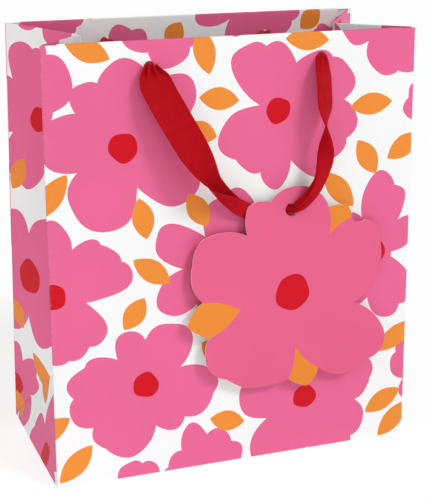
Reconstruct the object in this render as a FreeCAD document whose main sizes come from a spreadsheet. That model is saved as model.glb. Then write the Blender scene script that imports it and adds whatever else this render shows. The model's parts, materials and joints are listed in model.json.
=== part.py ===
import FreeCAD, Part
import math
import os

import Sketcher
from FreeCAD import Placement, Rotation, Vector

# Gift bag: a gusseted paper carrier with ribbon handles and a flower-shaped tag.
# Frame: origin at the centre of the base, +X to the right, -Y to the front, +Z up. Millimetres.

# ---- driving dimensions -------------------------------------------------------------------------

DIMENSIONS = [
    ("bag_width", 215),
    ("wall_length", 245),
    ("base_depth", 104),
    ("mouth_depth", 82),
    ("paper", 0.3),
    ("fold_gap", 0.35),
    ("flap_overlap", 12),
    ("dust_flap_length", 48),
    ("dust_flap_taper", 14),
    ("flap_inset", 0.8),
    ("card_thickness", 0.8),
    ("card_clearance", 3.5),
    ("hem_depth", 38),
    ("hem_width", 198),
    ("strip_thickness", 0.5),
    ("strip_width", 150),
    ("strip_height", 28),
    ("hole_spacing", 99),
    ("hole_drop", 14),
    ("hole_radius", 3),
    ("knot_radius", 5),
    ("knot_depth", 3.6),
    ("stub_radius", 2.4),
    ("ribbon_gauge", 3),
    ("seam_tab_width", 16),
    ("foot_rise", 49.8),
    ("foot_inset", 15.1),
    ("crease_inset", 32),
    ("crease_drop", 2.3),
    ("crease_gap", 3),
    ("tag_thickness", 0.5),
    ("tag_stand_off", 4.6),
    ("tag_centre_across", 32.2),
    ("tag_centre_up", 99.5),
    ("tag_hole_across", -1.8),
    ("tag_hole_up", 48.5),
    ("tag_hole_radius", 3.8),
]

os.makedirs("parts", exist_ok=True)
doc = FreeCAD.newDocument("gift_bag")
sheet = doc.addObject("Spreadsheet::Sheet", "Sheet")
for row, (alias, value) in enumerate(DIMENSIONS, start=1):
    sheet.set(f"A{row}", alias)
    sheet.set(f"B{row}", str(value))
    sheet.setAlias(f"B{row}", alias)
doc.recompute()


def size(alias):
    """The value of one driving dimension."""
    return float(sheet.get(alias))


WIDTH = size("bag_width")
LENGTH = size("wall_length")
DEPTH = size("base_depth")
PAPER = size("paper")
LEAN = math.asin((DEPTH - size("mouth_depth")) / 2 / LENGTH)
HOLE_UP = LENGTH - size("hole_drop")
HOLE_ACROSS = size("hole_spacing") / 2

# A wall's own frame has X across, Z up the wall and the outer face at Y = 0, with the inside at +Y.
LEAN_IN = Rotation(Vector(1, 0, 0), -math.degrees(LEAN))
WALLS = {
    "front": Placement(Vector(0, -DEPTH / 2, 0), LEAN_IN),
    "back": Placement(Vector(0, DEPTH / 2, 0), Rotation(Vector(0, 0, 1), 180) * LEAN_IN),
}
pieces = []


def keep(piece, label, placement=None):
    """Name a finished sub-part, place it and put it on the list of what is written."""
    piece.Label = label
    if placement is not None:
        piece.Placement = placement
    pieces.append(piece)
    return piece


# ---- sheets cut from a polygon ------------------------------------------------------------------

def origin_plane(body, role):
    """One of a body's own origin planes."""
    return next(feature for feature in body.Origin.OriginFeatures if feature.Role == role)


def new_sketch(body, name, role):
    """An empty sketch on one of the body's origin planes."""
    sketch = body.newObject("Sketcher::SketchObject", name)
    sketch.AttachmentSupport = (origin_plane(body, role), "")
    sketch.MapMode = "FlatFace"
    return sketch


def pin_point(sketch, geometry, position, across, up):
    """Fix a sketch point at two distances from the sketch's origin, each bound to an expression."""
    for kind, expression in (("DistanceX", across), ("DistanceY", up)):
        here = sketch.getPoint(geometry, position)
        start = here.x if kind == "DistanceX" else here.y
        index = sketch.addConstraint(Sketcher.Constraint(kind, -1, 1, geometry, position, start))
        sketch.setExpression(f"Constraints[{index}]", expression)


def evaluate(expression):
    """The present value of an expression, used to draw a sketch near its final shape."""
    return float(sheet.evalExpression(expression.replace("Sheet.", "")))


def polygon_sheet(label, role, corners, thickness, midplane=False, reverse=False):
    """A body made by padding a closed polygon whose corners are pairs of expressions."""
    body = doc.addObject("PartDesign::Body", label)
    sketch = new_sketch(body, label + "_outline", role)
    points = [Vector(evaluate(across), evaluate(up), 0) for across, up in corners]
    for index, point in enumerate(points):
        sketch.addGeometry(Part.LineSegment(point, points[(index + 1) % len(points)]))
    for index in range(len(points)):
        sketch.addConstraint(Sketcher.Constraint("Coincident", index, 2, (index + 1) % len(points), 1))
    for index, (across, up) in enumerate(corners):
        pin_point(sketch, index, 1, across, up)
    pad = body.newObject("PartDesign::Pad", label + "_pad")
    pad.Profile = sketch
    pad.setExpression("Length", thickness)
    pad.Midplane = midplane
    pad.Reversed = reverse
    doc.recompute()
    return body


def punch(body, places, radius):
    """Cut round holes through a sheet that lies in the body's XZ plane."""
    before = body.Shape.Volume
    sketch = new_sketch(body, body.Name + "_holes", "XZ_Plane")
    for index, (across, up) in enumerate(places):
        centre = Vector(evaluate(across), evaluate(up), 0)
        sketch.addGeometry(Part.Circle(centre, Vector(0, 0, 1), evaluate(radius)))
        pin_point(sketch, index, 3, across, up)
        ring = sketch.addConstraint(Sketcher.Constraint("Radius", index, evaluate(radius)))
        sketch.setExpression(f"Constraints[{ring}]", radius)
    pocket = body.newObject("PartDesign::Pocket", body.Name + "_pocket")
    pocket.Profile = sketch
    pocket.Type = "ThroughAll"
    pocket.Midplane = True
    doc.recompute()
    if body.Shape.Volume >= before:
        raise RuntimeError(f"{body.Label}: the holes cut nothing")


def rectangle(half_width, low, high):
    """Corner expressions of an upright rectangle centred across."""
    return [(f"-({half_width})", low), (half_width, low), (half_width, high), (f"-({half_width})", high)]


HOLES = [
    ("-Sheet.hole_spacing / 2", "Sheet.wall_length - Sheet.hole_drop"),
    ("Sheet.hole_spacing / 2", "Sheet.wall_length - Sheet.hole_drop"),
]

# ---- base: four glued flaps and a loose card ----------------------------------------------------

EDGE = "Sheet.base_depth / 2 - Sheet.flap_inset"
HALF_FLAP = "Sheet.flap_overlap"


def make_long_flaps():
    """The two long flaps. The front one steps up by a paper's thickness to lap over the back one."""
    back_corners = [
        (f"-({HALF_FLAP})", "0"),
        (EDGE, "0"),
        (EDGE, "Sheet.paper"),
        (f"-({HALF_FLAP})", "Sheet.paper"),
    ]
    step = f"-({HALF_FLAP}) - 0.4"
    front_corners = [
        (f"-({EDGE})", "0"),
        (step, "0"),
        (step, "Sheet.paper"),
        (HALF_FLAP, "Sheet.paper"),
        (HALF_FLAP, "2 * Sheet.paper"),
        (f"{step} - Sheet.paper", "2 * Sheet.paper"),
        (f"{step} - Sheet.paper", "Sheet.paper"),
        (f"-({EDGE})", "Sheet.paper"),
    ]
    width = "Sheet.bag_width - 2 * Sheet.flap_inset"
    for side, corners in (("back", back_corners), ("front", front_corners)):
        name = "bottom_flap_" + side
        keep(polygon_sheet(name, "YZ_Plane", corners, width, midplane=True), name)


def make_short_flaps():
    """The two short flaps, tapered where they were cut at 45 degrees, lying on the long ones."""
    outer = "Sheet.bag_width / 2 - Sheet.flap_inset"
    inner = "Sheet.bag_width / 2 - Sheet.flap_inset - Sheet.dust_flap_length"
    taper = f"{EDGE} - Sheet.dust_flap_taper"
    for side, turn in (("right", 0), ("left", 180)):
        corners = [(outer, f"-({EDGE})"), (outer, EDGE), (inner, taper), (inner, f"-({taper})")]
        name = "bottom_flap_" + side
        flap = polygon_sheet(name, "XY_Plane", corners, "Sheet.paper")
        keep(flap, name, Placement(Vector(0, 0, 2 * PAPER), Rotation(Vector(0, 0, 1), turn)))


def make_base_card():
    """The loose card that stiffens the base."""
    card = doc.addObject("Part::Box", "base_card")
    card.setExpression("Length", "Sheet.bag_width - 2 * Sheet.card_clearance")
    card.setExpression("Width", "Sheet.base_depth - 2 * Sheet.card_clearance")
    card.setExpression("Height", "Sheet.card_thickness")
    clearance = size("card_clearance")
    corner = Vector(clearance - WIDTH / 2, clearance - DEPTH / 2, 3 * PAPER)
    keep(card, "base_card", Placement(corner, Rotation()))


make_long_flaps()
make_short_flaps()
make_base_card()

# ---- the two wide walls -------------------------------------------------------------------------


def make_panel(side):
    """A wide wall with two punched holes near its top."""
    corners = rectangle("Sheet.bag_width / 2", "Sheet.fold_gap", "Sheet.wall_length")
    panel = polygon_sheet(side + "_panel", "XZ_Plane", corners, "Sheet.paper", reverse=True)
    punch(panel, HOLES, "Sheet.hole_radius")
    keep(panel, side + "_panel", WALLS[side])


def make_hem(side):
    """The turned-in top of a wide wall: a lip over the card strip and a leaf that hangs behind it."""
    near = "Sheet.paper"
    leaf = "Sheet.paper + Sheet.strip_thickness"
    far = "2 * Sheet.paper + Sheet.strip_thickness"
    top = "Sheet.wall_length"
    corners = [
        (near, top),
        (near, f"{top} - Sheet.paper"),
        (leaf, f"{top} - Sheet.paper"),
        (leaf, f"{top} - Sheet.hem_depth"),
        (far, f"{top} - Sheet.hem_depth"),
        (far, top),
    ]
    hem = polygon_sheet(side + "_hem", "YZ_Plane", corners, "Sheet.hem_width", midplane=True)
    punch(hem, HOLES, "Sheet.hole_radius")
    keep(hem, side + "_hem", WALLS[side])


def make_card_strip(side):
    """The card strip between a wall and its hem, which spreads the pull of the handle."""
    top = "Sheet.wall_length - Sheet.paper"
    corners = rectangle("Sheet.strip_width / 2", f"{top} - Sheet.strip_height", top)
    name = side + "_card_strip"
    strip = polygon_sheet(name, "XZ_Plane", corners, "Sheet.strip_thickness", reverse=True)
    punch(strip, HOLES, "Sheet.hole_radius")
    keep(strip, name, WALLS[side] * Placement(Vector(0, PAPER, 0), Rotation()))


def make_knots(side):
    """The knot behind each hole, with the short neck of ribbon that passes through the wall."""
    inner_face = 2 * PAPER + size("strip_thickness")
    neck_out = 0.9
    for hand, across in (("left", -HOLE_ACROSS), ("right", HOLE_ACROSS)):
        name = f"{side}_knot_{hand}"
        ball = doc.addObject("Part::Ellipsoid", name + "_ball")
        ball.setExpression("Radius1", "Sheet.knot_radius")
        ball.setExpression("Radius2", "Sheet.knot_radius")
        ball.setExpression("Radius3", "Sheet.knot_depth")
        ball.Angle1 = -90
        ball.Placement.Base = Vector(across, inner_face + size("knot_depth"), HOLE_UP)
        neck = doc.addObject("Part::Cylinder", name + "_neck")
        neck.setExpression("Radius", "Sheet.stub_radius")
        neck.Height = neck_out + inner_face + size("knot_depth")
        neck.Placement = Placement(Vector(across, -neck_out, HOLE_UP), Rotation(Vector(1, 0, 0), -90))
        knot = doc.addObject("Part::Fuse", name)
        knot.Base = ball
        knot.Tool = neck
        keep(knot, name, WALLS[side])


def make_seam_tab():
    """The glue tab of the wrap, stuck inside the back wall beside the left-hand edge of the bag."""
    edge = "Sheet.bag_width / 2 - 2 * Sheet.crease_gap"
    high = "Sheet.wall_length - Sheet.hem_depth - 1"
    low = "Sheet.flap_inset + 2"
    corners = [
        (f"{edge} - Sheet.seam_tab_width", low),
        (edge, low),
        (edge, high),
        (f"{edge} - Sheet.seam_tab_width", high),
    ]
    tab = polygon_sheet("side_seam_tab", "XZ_Plane", corners, "Sheet.paper", reverse=True)
    keep(tab, "side_seam_tab", WALLS["back"] * Placement(Vector(0, PAPER, 0), Rotation()))


for wall in WALLS:
    make_panel(wall)
    make_hem(wall)
    make_card_strip(wall)
    make_knots(wall)
make_seam_tab()

# ---- gussets: thin sheets with straight facets --------------------------------------------------


def thick_sheet(corners, triangles, inward, gap, thickness):
    """A solid sheet of flat triangles. Its outer side lies gap inside the corners given."""
    near = [corner + inward * gap for corner in corners]
    far = [corner + inward * (gap + thickness) for corner in corners]
    edges = [(a, b) for tri in triangles for a, b in zip(tri, tri[1:] + tri[:1])]
    rim = [(a, b) for a, b in edges if (b, a) not in edges]
    faces = [[near[a], near[b], near[c]] for a, b, c in triangles]
    faces += [[far[c], far[b], far[a]] for a, b, c in triangles]
    for a, b in rim:
        faces.append([near[b], near[a], far[a]])
        faces.append([near[b], far[a], far[b]])
    shell = Part.Shell([Part.Face(Part.makePolygon(face + face[:1])) for face in faces])
    solid = Part.Solid(shell)
    if solid.Volume < 0:
        solid.reverse()
    return solid


def add_sheet(name, solid):
    """A document object that holds a finished sheet."""
    piece = doc.addObject("Part::Feature", name)
    piece.Shape = solid
    keep(piece, name)


def between(start, end, distance):
    """The point at a distance from start on the way to end."""
    return start + (end - start).normalize() * distance


def wall_edge(side_x, side_y, up):
    """A point on the upright fold between a wide wall and a gusset."""
    return Vector(side_x * WIDTH / 2, side_y * (DEPTH / 2 - up * math.sin(LEAN)), up * math.cos(LEAN))


def make_gusset(side, side_x):
    """One gusset: two halves that meet at the centre crease, their hems, and the foot below them."""
    top = LENGTH * math.cos(LEAN)
    crease = Vector(side_x * (WIDTH / 2 - size("crease_inset")), 0, top - size("crease_drop"))
    apex = Vector(side_x * (WIDTH / 2 - size("foot_inset")), 0, size("foot_rise"))
    corner_lift = 9
    edge_gap = 2.9
    hem_gap = 4.6
    crease_gap = size("crease_gap")
    for wall, side_y in (("front", -1), ("back", 1)):
        name = f"{side}_gusset_{wall}"
        upper = wall_edge(side_x, side_y, LENGTH)
        lower = wall_edge(side_x, side_y, corner_lift)
        away = Vector(0, side_y * crease_gap, 0)
        corners = [
            lower + Vector(0, -side_y * edge_gap, 0),
            between(upper, crease, edge_gap),
            between(crease, upper, crease_gap),
            apex + away + Vector(0, 0, 0.5),
        ]
        triangles = [(0, 1, 2), (0, 2, 3)]
        if side_x * side_y > 0:
            triangles = [tri[::-1] for tri in triangles]
        inward = (upper - lower).cross(crease - lower).normalize()
        if inward.x * side_x > 0:
            inward = inward * -1
        add_sheet(name, thick_sheet(corners, triangles, inward, 0, PAPER))
        down = (lower - upper).normalize() * size("hem_depth")
        hem = [
            between(upper, crease, hem_gap),
            between(crease, upper, crease_gap + 1),
            between(crease, upper, crease_gap + 9) + down,
            between(upper, crease, hem_gap) + down,
        ]
        triangles = [(0, 1, 2), (0, 2, 3)]
        if side_x * side_y < 0:
            triangles = [tri[::-1] for tri in triangles]
        add_sheet(name + "_hem", thick_sheet(hem, triangles, inward, PAPER + 0.05, PAPER))
    base_lift = 1.3
    base_gap = 4
    foot_edge = Vector(side_x * WIDTH / 2, 0, 0)
    slope = (apex - foot_edge).normalize()
    foot = [
        foot_edge + slope * base_lift + Vector(0, -(DEPTH / 2 - base_gap), 0),
        foot_edge + slope * base_lift + Vector(0, DEPTH / 2 - base_gap, 0),
        apex - slope * base_gap,
    ]
    triangles = [(0, 1, 2)] if side_x > 0 else [(2, 1, 0)]
    inward = Vector(-side_x * slope.z, 0, side_x * slope.x)
    add_sheet(side + "_gusset_foot", thick_sheet(foot, triangles, inward, 0, PAPER))


for hand, sign in (("left", -1), ("right", 1)):
    make_gusset(hand, sign)

# ---- ribbon handles -----------------------------------------------------------------------------

# Each route is a list of points across the wall, up the wall and out from its outer face.
FRONT_LEFT = [
    (-49.5, 231, 3),
    (-48, 222, 4),
    (-43, 210, 7),
    (-36.5, 196, 10.5),
    (-31, 182.5, 12),
    (-25, 171.5, 11.5),
    (-19.4, 165.9, 10.1),
]
FRONT_BIGHT = [
    (-19, 165.5, 10),
    (-10.5, 157, 7),
    (2, 151, 3),
    (15, 148.5, 2.2),
    (27, 147.5, 2.2),
    (33.5, 149, 7.5),
    (41, 156, 9.5),
    (44.5, 165.5, 11),
]
FRONT_RIGHT = [
    (44.7, 166.1, 11),
    (47, 177.5, 12),
    (47.8, 192, 11),
    (48.3, 206, 8),
    (49, 219, 4.5),
    (49.5, 231, 3),
]
BACK_LOOP = [
    (-49.5, 231, 3),
    (-48.2, 221, 4),
    (-46, 207, 7),
    (-42, 191, 10),
    (-35, 175, 12),
    (-24.5, 161, 12.5),
    (-10, 152.5, 12.5),
    (6, 151.5, 12),
    (21, 157.5, 12.5),
    (32.5, 169.5, 12.5),
    (40.5, 185, 11),
    (45, 201, 8),
    (48, 217, 4.8),
    (49.5, 231, 3),
]
BEND_SHARE = 0.45


def rounded_path(name, points):
    """Straight runs joined by tangent arcs, each arc as large as its two runs allow."""
    corners = [Vector(*point) for point in points]
    edges = []
    radii = []
    last = corners[0]
    for before, corner, after in zip(corners, corners[1:], corners[2:]):
        to_before = before - corner
        to_after = after - corner
        cut = BEND_SHARE * min(to_before.Length, to_after.Length)
        turn = math.pi - to_before.getAngle(to_after)
        radius = cut / math.tan(turn / 2)
        start = corner + to_before.normalize() * cut
        end = corner + to_after.normalize() * cut
        middle = (to_before + to_after).normalize()
        inset = radius / math.cos(turn / 2) - radius
        edges.append(Part.LineSegment(last, start).toShape())
        edges.append(Part.Arc(start, corner + middle * inset, end).toShape())
        radii.append(round(radius, 1))
        last = end
    edges.append(Part.LineSegment(last, corners[-1]).toShape())
    print(f"{name}: bend radii {radii}")
    return Part.Wire(edges)


def make_ribbon(name, route, side):
    """A plain round tube along a ribbon's route, given in the frame of the wall it hangs on."""
    path = rounded_path(name, [(across, -out, up) for across, up, out in route])
    radius = size("ribbon_gauge") / 2
    start = path.Edges[0]
    ring = Part.Circle(start.Vertexes[0].Point, start.tangentAt(start.FirstParameter), radius)
    tube = path.makePipeShell([Part.Wire(ring.toShape())], True, False)
    expected = math.pi * radius ** 2 * path.Length
    print(f"{name}: length {path.Length:.1f}, volume {tube.Volume:.1f} of {expected:.1f}")
    if abs(tube.Volume - expected) > 0.02 * expected:
        raise RuntimeError(f"{name}: the tube's volume is wrong")
    piece = doc.addObject("Part::Feature", name)
    piece.Shape = tube
    keep(piece, name, WALLS[side])


make_ribbon("front_ribbon_left", FRONT_LEFT, "front")
make_ribbon("front_ribbon_bight", FRONT_BIGHT, "front")
make_ribbon("front_ribbon_right", FRONT_RIGHT, "front")
make_ribbon("back_ribbon", BACK_LOOP, "back")

# ---- gift tag -----------------------------------------------------------------------------------

# The outline of petals and leaves: each entry is the start of an arc and a point halfway along it,
# across and up from the middle of the flower.
TAG_ARCS = [
    ((-28.5, 36.0), (-29.5, 44.0)),
    ((-28.0, 52.0), (-22.5, 54.5)),
    ((-15.0, 53.5), (-8.0, 59.5)),
    ((2.0, 61.5), (14.0, 57.5)),
    ((21.0, 48.0), (26.5, 48.6)),
    ((32.5, 48.0), (34.5, 45.0)),
    ((35.5, 40.5), (39.0, 37.5)),
    ((44.0, 38.5), (51.5, 34.0)),
    ((54.0, 24.0), (51.5, 3.5)),
    ((38.0, -10.5), (50.5, -18.5)),
    ((57.5, -30.0), (56.0, -40.0)),
    ((46.5, -46.0), (33.5, -53.0)),
    ((16.0, -47.5), (13.5, -53.0)),
    ((8.5, -57.5), (2.5, -55.5)),
    ((-3.0, -52.0), (-14.5, -54.0)),
    ((-31.0, -53.0), (-36.5, -50.0)),
    ((-41.5, -46.5), (-52.0, -39.5)),
    ((-54.0, -28.5), (-53.5, -24.0)),
    ((-51.0, -21.0), (-58.5, -17.5)),
    ((-65.0, -12.0), (-61.5, -5.0)),
    ((-55.5, 0.5), (-61.5, 10.5)),
    ((-61.0, 22.5), (-59.5, 30.0)),
    ((-55.5, 36.0), (-43.5, 39.0)),
]


def make_tag():
    """The die-cut card that hangs on the front ribbon, with its punched hole."""
    body = doc.addObject("PartDesign::Body", "gift_tag")
    sketch = new_sketch(body, "gift_tag_outline", "XZ_Plane")
    count = len(TAG_ARCS)
    for index, (start, middle) in enumerate(TAG_ARCS):
        end = TAG_ARCS[(index + 1) % count][0]
        arc = Part.Arc(Vector(*start, 0), Vector(*middle, 0), Vector(*end, 0))
        sketch.addGeometry(arc)
    pad = body.newObject("PartDesign::Pad", "gift_tag_pad")
    pad.Profile = sketch
    pad.setExpression("Length", "Sheet.tag_thickness")
    doc.recompute()
    punch(body, [("Sheet.tag_hole_across", "Sheet.tag_hole_up")], "Sheet.tag_hole_radius")
    place = Vector(size("tag_centre_across"), -size("tag_stand_off"), size("tag_centre_up"))
    keep(body, "gift_tag", WALLS["front"] * Placement(place, Rotation()))


make_tag()

# ---- checks and files ---------------------------------------------------------------------------

doc.recompute()
for item in doc.Objects:
    if "Invalid" in item.State or "Error" in item.State:
        raise RuntimeError(f"{item.Label}: {item.State}")
for piece in pieces:
    shape = piece.Shape
    if shape.isNull() or not shape.isValid() or len(shape.Solids) != 1:
        raise RuntimeError(f"{piece.Label}: bad shape, {len(shape.Solids)} solids")
    shape.exportStep(f"parts/{piece.Label}.step")
    box = shape.BoundBox
    print(f"{piece.Label}: {shape.Volume:.1f} mm3, y {box.YMin:.1f}..{box.YMax:.1f}, top {box.ZMax:.1f}")
print(f"{len(pieces)} sub-parts, lean {math.degrees(LEAN):.3f} degrees")
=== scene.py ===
# %% [markdown]
# # A paper gift bag with ribbon handles and a flower tag
# A gift bag like this starts as one flat printed sheet, the blank. The maker folds it into a tube with
# two pleated sides, the gussets, glues the bottom flaps, turns the top edge in over a strip of card and
# ties ribbon through four punched holes. This lesson builds it the same way: each piece of paper is cut
# from the flat blank and then bent into its place round the measured frame.

# %% Load the measured frame
import json
import math
import random

import bpy
import numpy as np
from mathutils import Matrix, Vector
from mathutils.geometry import delaunay_2d_cdt

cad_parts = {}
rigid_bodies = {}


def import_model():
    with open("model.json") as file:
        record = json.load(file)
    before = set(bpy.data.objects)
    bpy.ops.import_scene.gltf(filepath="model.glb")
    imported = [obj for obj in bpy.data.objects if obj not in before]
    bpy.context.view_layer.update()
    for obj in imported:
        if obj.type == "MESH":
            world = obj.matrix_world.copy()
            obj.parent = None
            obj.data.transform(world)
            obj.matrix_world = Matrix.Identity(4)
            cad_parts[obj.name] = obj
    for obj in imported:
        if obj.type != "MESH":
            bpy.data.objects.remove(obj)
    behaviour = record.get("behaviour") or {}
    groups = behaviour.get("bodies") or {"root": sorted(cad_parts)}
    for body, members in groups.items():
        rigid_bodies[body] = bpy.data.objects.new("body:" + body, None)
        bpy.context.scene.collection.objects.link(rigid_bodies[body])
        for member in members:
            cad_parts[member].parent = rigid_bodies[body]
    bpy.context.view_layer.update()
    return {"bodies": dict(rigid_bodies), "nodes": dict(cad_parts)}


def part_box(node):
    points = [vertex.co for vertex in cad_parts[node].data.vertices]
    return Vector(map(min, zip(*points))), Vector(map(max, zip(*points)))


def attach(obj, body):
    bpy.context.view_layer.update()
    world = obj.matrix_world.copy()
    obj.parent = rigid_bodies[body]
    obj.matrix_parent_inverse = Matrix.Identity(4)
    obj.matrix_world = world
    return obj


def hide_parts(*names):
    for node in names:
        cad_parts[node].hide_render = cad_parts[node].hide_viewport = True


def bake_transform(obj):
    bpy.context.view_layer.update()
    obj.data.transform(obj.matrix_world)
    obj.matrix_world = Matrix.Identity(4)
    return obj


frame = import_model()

bodies = sorted(frame["bodies"])
print("bodies:", bodies)

# %% [markdown]
# ## Sizes of the blank
# The wide walls lean in a little, so the mouth is narrower than the base. Lengths on the paper are in
# millimetres, because a blank is drawn that way, and the last step of every shape turns them into metres.
# The width is read from the frame, and the lean follows from its height. The other sizes repeat the
# design's own.

# %% Read the sizes
MM = 0.001
PANEL_LOW, PANEL_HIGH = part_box("front_panel")
WIDTH = (PANEL_HIGH.x - PANEL_LOW.x) / MM
DEPTH = 104.0
LENGTH = 245.0
LEAN = math.acos(PANEL_HIGH.z / MM / LENGTH)
SIN_LEAN, COS_LEAN = math.sin(LEAN), math.cos(LEAN)
PAPER = 0.3
STRIP = 0.5
HEM = 38.0
HOLE_ACROSS, HOLE_UP, HOLE_RADIUS = 49.5, 231.0, 3.0
print(f"bag {WIDTH:.0f} wide, walls {LENGTH:.0f} long, lean {math.degrees(LEAN):.2f} degrees")


def wall_to_frame(side, across, up, out):
    """Points of the frame in metres, from millimetres across a wide wall, up it and out of it."""
    across, up, out = np.broadcast_arrays(*(np.asarray(v, float) for v in (across, up, out)))
    toward = DEPTH / 2 - up * SIN_LEAN + out * COS_LEAN
    high = up * COS_LEAN + out * SIN_LEAN
    sign = -1 if side == "front" else 1
    return np.stack([-sign * across, sign * toward, high], -1) * MM


# %% [markdown]
# ## Camera
# The camera looks from the front left and a little above, with a long lens, so upright edges stay almost
# parallel. Its three axes are written out from the turn, the tilt and the small roll.

# %% Set the camera


def new_object(name, data):
    """An object for some data, put into the scene."""
    thing = bpy.data.objects.new(name, data)
    bpy.context.scene.collection.objects.link(thing)
    return thing


camera = new_object("camera", bpy.data.cameras.new("camera"))
bpy.context.scene.camera = camera
CAMERA_AT, LENS = (-0.2638, -0.6967, 0.3550), 95.5
TURN, TILT, ROLL = math.radians(21.03), math.radians(18.07), math.radians(0.64)
looking = Vector((math.sin(TURN) * math.cos(TILT), math.cos(TURN) * math.cos(TILT), -math.sin(TILT)))
level = Vector((math.cos(TURN), -math.sin(TURN), 0))
upward = level.cross(looking)
right = level * math.cos(ROLL) + upward * math.sin(ROLL)
upward = upward * math.cos(ROLL) - level * math.sin(ROLL)
axes = Matrix((right, upward, -looking)).transposed()
camera.matrix_world = Matrix.Translation(CAMERA_AT) @ axes.to_4x4()
camera.data.lens = LENS
camera.data.clip_start, camera.data.clip_end = 0.02, 20
print("camera at", [round(c, 3) for c in camera.matrix_world.translation])

# %% [markdown]
# ## Helpers for meshes
# A piece is a list of corners and faces, joined to one mesh with its materials. Sheets of paper need hard
# edges where they were cut and smooth shading on their two sides, so the edges that stay hard are marked.

# %% Make a mesh object


def new_piece(name, corners, faces, materials, face_materials=None, hard=()):
    """A smooth-shaded mesh object at the origin. Edges listed in hard stay sharp."""
    mesh = bpy.data.meshes.new(name)
    mesh.from_pydata([tuple(c) for c in corners], [], [tuple(int(i) for i in f) for f in faces])
    mesh.update(calc_edges=True)
    for material in materials:
        mesh.materials.append(material)
    if face_materials is not None:
        mesh.polygons.foreach_set("material_index", np.asarray(face_materials, np.int32))
    mesh.polygons.foreach_set("use_smooth", np.ones(len(mesh.polygons), bool))
    if hard:
        wanted = {tuple(sorted(pair)) for pair in hard}
        flags = [tuple(sorted(edge.vertices)) in wanted for edge in mesh.edges]
        mesh.attributes.new("sharp_edge", "BOOLEAN", "EDGE").data.foreach_set("value", flags)
    return new_object(name, mesh)


def new_line(name, kind, lines, cyclic=False):
    """A curve object with a spline of one kind through each list of points."""
    data = bpy.data.curves.new(name + "_line", "CURVE")
    data.dimensions = "3D"
    for line in lines:
        spline = data.splines.new(kind)
        spline.points.add(len(line) - 1)
        spline.points.foreach_set("co", np.column_stack([line, np.ones(len(line))]).ravel())
        spline.use_cyclic_u = cyclic
    return new_object(name + "_line", data)


def to_mesh(curve):
    """The mesh that a curve object gives with its modifiers. The curve itself is removed."""
    mesh = bpy.data.meshes.new_from_object(curve.evaluated_get(bpy.context.evaluated_depsgraph_get()))
    bpy.data.objects.remove(curve)
    return mesh


def follow_route(name, points):
    """Points along the smooth NURBS line of a ribbon's route, as Blender's own curve gives them."""
    curve = new_line(name, "NURBS", [points])
    curve.data.resolution_u = 14
    curve.data.splines[0].order_u = 3
    curve.data.splines[0].use_endpoint_u = True
    line = to_mesh(curve)
    path = np.array([v.co for v in line.vertices])
    bpy.data.meshes.remove(line)
    return path


# %% [markdown]
# ## Materials: nodes in one place
# Every finish is built from the same few nodes: noise, waves, mixes and a bump. Small helpers add them
# and join them up. Values that are the same all over a surface go straight on the shader.

# %% Node helpers


def new_material(name, **shader):
    """A material with its Principled shader's plain values set, and the node tree to add detail to."""
    material = bpy.data.materials.new(name)
    material.use_nodes = True
    tree = material.node_tree
    principled = tree.nodes["Principled BSDF"]
    for key, value in shader.items():
        principled.inputs[key.replace("_", " ").title().replace("Ior", "IOR")].default_value = value
    return material, tree, principled


def add(tree, kind, inputs=None, **settings):
    """Add one node, set its properties and its input values or links."""
    node = tree.nodes.new(kind)
    for key, value in settings.items():
        setattr(node, key, value)
    for key, value in (inputs or {}).items():
        if isinstance(value, bpy.types.NodeSocket):
            tree.links.new(value, node.inputs[key])
        else:
            node.inputs[key].default_value = value
    return node


def blend_colours(tree, factor, first, second):
    """The mix of two colours or colour sockets."""
    node = tree.nodes.new("ShaderNodeMix")
    node.data_type = "RGBA"
    for socket, value in ((node.inputs[0], factor), (node.inputs[6], first), (node.inputs[7], second)):
        if isinstance(value, bpy.types.NodeSocket):
            tree.links.new(value, socket)
        else:
            socket.default_value = value
    return node.outputs[2]


def ramp(tree, value, low, high, to_low=0.0, to_high=1.0):
    """Map a value from one range to another, clamped."""
    return add(tree, "ShaderNodeMapRange", {0: value, 1: low, 2: high, 3: to_low, 4: to_high}).outputs[0]


def arithmetic(tree, operation, *values):
    """One sum on numbers or value sockets."""
    return add(tree, "ShaderNodeMath", dict(enumerate(values)), operation=operation).outputs[0]


def object_place(tree):
    """The place on the piece in its own coordinates."""
    return add(tree, "ShaderNodeTexCoord").outputs["Object"]


def noise(tree, place, scale, detail, roughness=0.5):
    """Cloudy noise over a place."""
    inputs = {"Vector": place, "Scale": scale, "Detail": detail, "Roughness": roughness}
    return add(tree, "ShaderNodeTexNoise", inputs).outputs[0]


def dress(tree, shader, colour, height, strength, distance, roughness=None):
    """Join a colour, a bump of some height and, where it varies, a roughness to the shader."""
    bump = add(tree, "ShaderNodeBump", {"Strength": strength, "Distance": distance, "Height": height})
    tree.links.new(bump.outputs[0], shader.inputs["Normal"])
    tree.links.new(colour, shader.inputs["Base Color"])
    if roughness is not None:
        tree.links.new(roughness, shader.inputs["Roughness"])


def linear(hex_colour, shade=1.0):
    """An sRGB hex colour as linear RGBA."""
    parts = [int(hex_colour[i:i + 2], 16) / 255 for i in (0, 2, 4)]
    return (*(shade * (c / 12.92 if c <= 0.04045 else ((c + 0.055) / 1.055) ** 2.4) for c in parts), 1)


# %% [markdown]
# ## Finish of the ribbon
# The handles are a flat woven ribbon, dyed a deep red. Fine ribs run across it where the weft passes, a
# slightly thicker selvedge runs along each edge, and the threads catch a soft sheen. The pattern has to
# follow the ribbon through its bends, so it reads the ribbon's own UV map, laid out in millimetres. A
# painted picture could do this too, but waves in the nodes stay sharp at any distance.

# %% Ribbon material


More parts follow.
